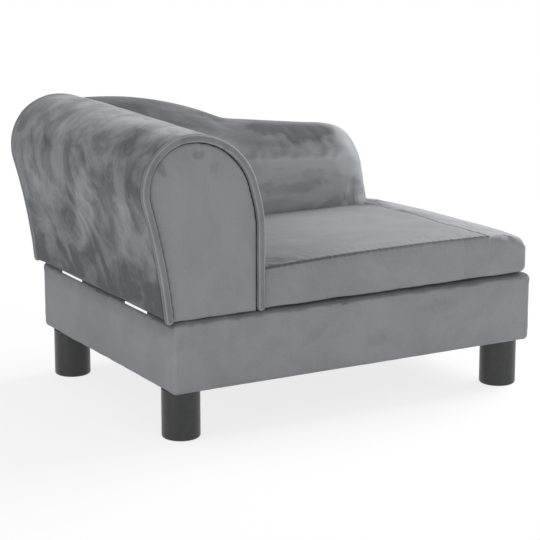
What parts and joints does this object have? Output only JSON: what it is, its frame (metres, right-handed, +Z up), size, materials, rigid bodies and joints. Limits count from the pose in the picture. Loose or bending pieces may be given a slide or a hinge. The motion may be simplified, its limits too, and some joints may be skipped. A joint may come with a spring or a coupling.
{
  "type": "dog sofa bed",
  "caption": "Small padded dog sofa with one rolled arm, an S topped backrest and a seat that lift as a hinged lid over a storage box on round legs.",
  "frame": {"origin": "on the floor, under the middle of the sofa's bounding box", "axes": "+X along the front from the arm to the open end, +Y from the front to the back, +Z up"},
  "size_m": [0.589, 0.414, 0.394],
  "materials": {
    "plywood": "bare poplar plywood",
    "pine": "planed pine",
    "hardboard": "thin bent hardboard",
    "foam": "open cell upholstery foam",
    "grey_plush": "short mid grey plush with a brushed nap",
    "lining_felt": "black non-woven cloth",
    "black_plastic": "satin black moulded plastic",
    "black_rubber": "matt black rubber",
    "nickel_plated_steel": "bright nickel plate",
    "zinc_plated_steel": "zinc plated"
  },
  "bodies": {
    "base": {"base_front_rail": "plywood", "base_rear_rail": "plywood", "base_left_rail": "plywood", "base_right_rail": "plywood", "floor_panel": "plywood", "corner_blocks": "pine", "insert_nuts": "zinc_plated_steel", "leg_front_left": "black_plastic", "leg_front_right": "black_plastic", "leg_rear_left": "black_plastic", "leg_rear_right": "black_plastic", "leg_studs": "zinc_plated_steel", "rail_screws": "zinc_plated_steel", "base_cover": "grey_plush", "box_lining": "lining_felt", "dust_cloth": "lining_felt", "hinge_base_leaves": "nickel_plated_steel", "hinge_pins": "nickel_plated_steel", "hinge_base_screws": "nickel_plated_steel"},
    "lid": {"hinge_lid_leaves": "nickel_plated_steel", "hinge_lid_screws": "nickel_plated_steel", "lid_board": "plywood", "lid_cloth": "lining_felt", "lid_screws": "zinc_plated_steel", "lid_stops": "black_rubber", "arm_front_board": "plywood", "arm_rear_board": "plywood", "arm_battens": "pine", "arm_skin": "hardboard", "arm_foam": "foam", "arm_cover": "grey_plush", "arm_front_panel": "grey_plush", "back_front_board": "plywood", "back_rear_board": "plywood", "back_posts": "pine", "back_foam": "foam", "back_cover": "grey_plush", "back_panel": "grey_plush", "seat_foam": "foam", "seat_cover": "grey_plush"}
  },
  "joints": [
    {"name": "lid_hinge", "type": "hinge", "parent": "base", "child": "lid", "pos_m": [-0.2575, 0, 0.16], "axis": [0, -1, 0], "range_deg": [0, 95]}
  ]
}
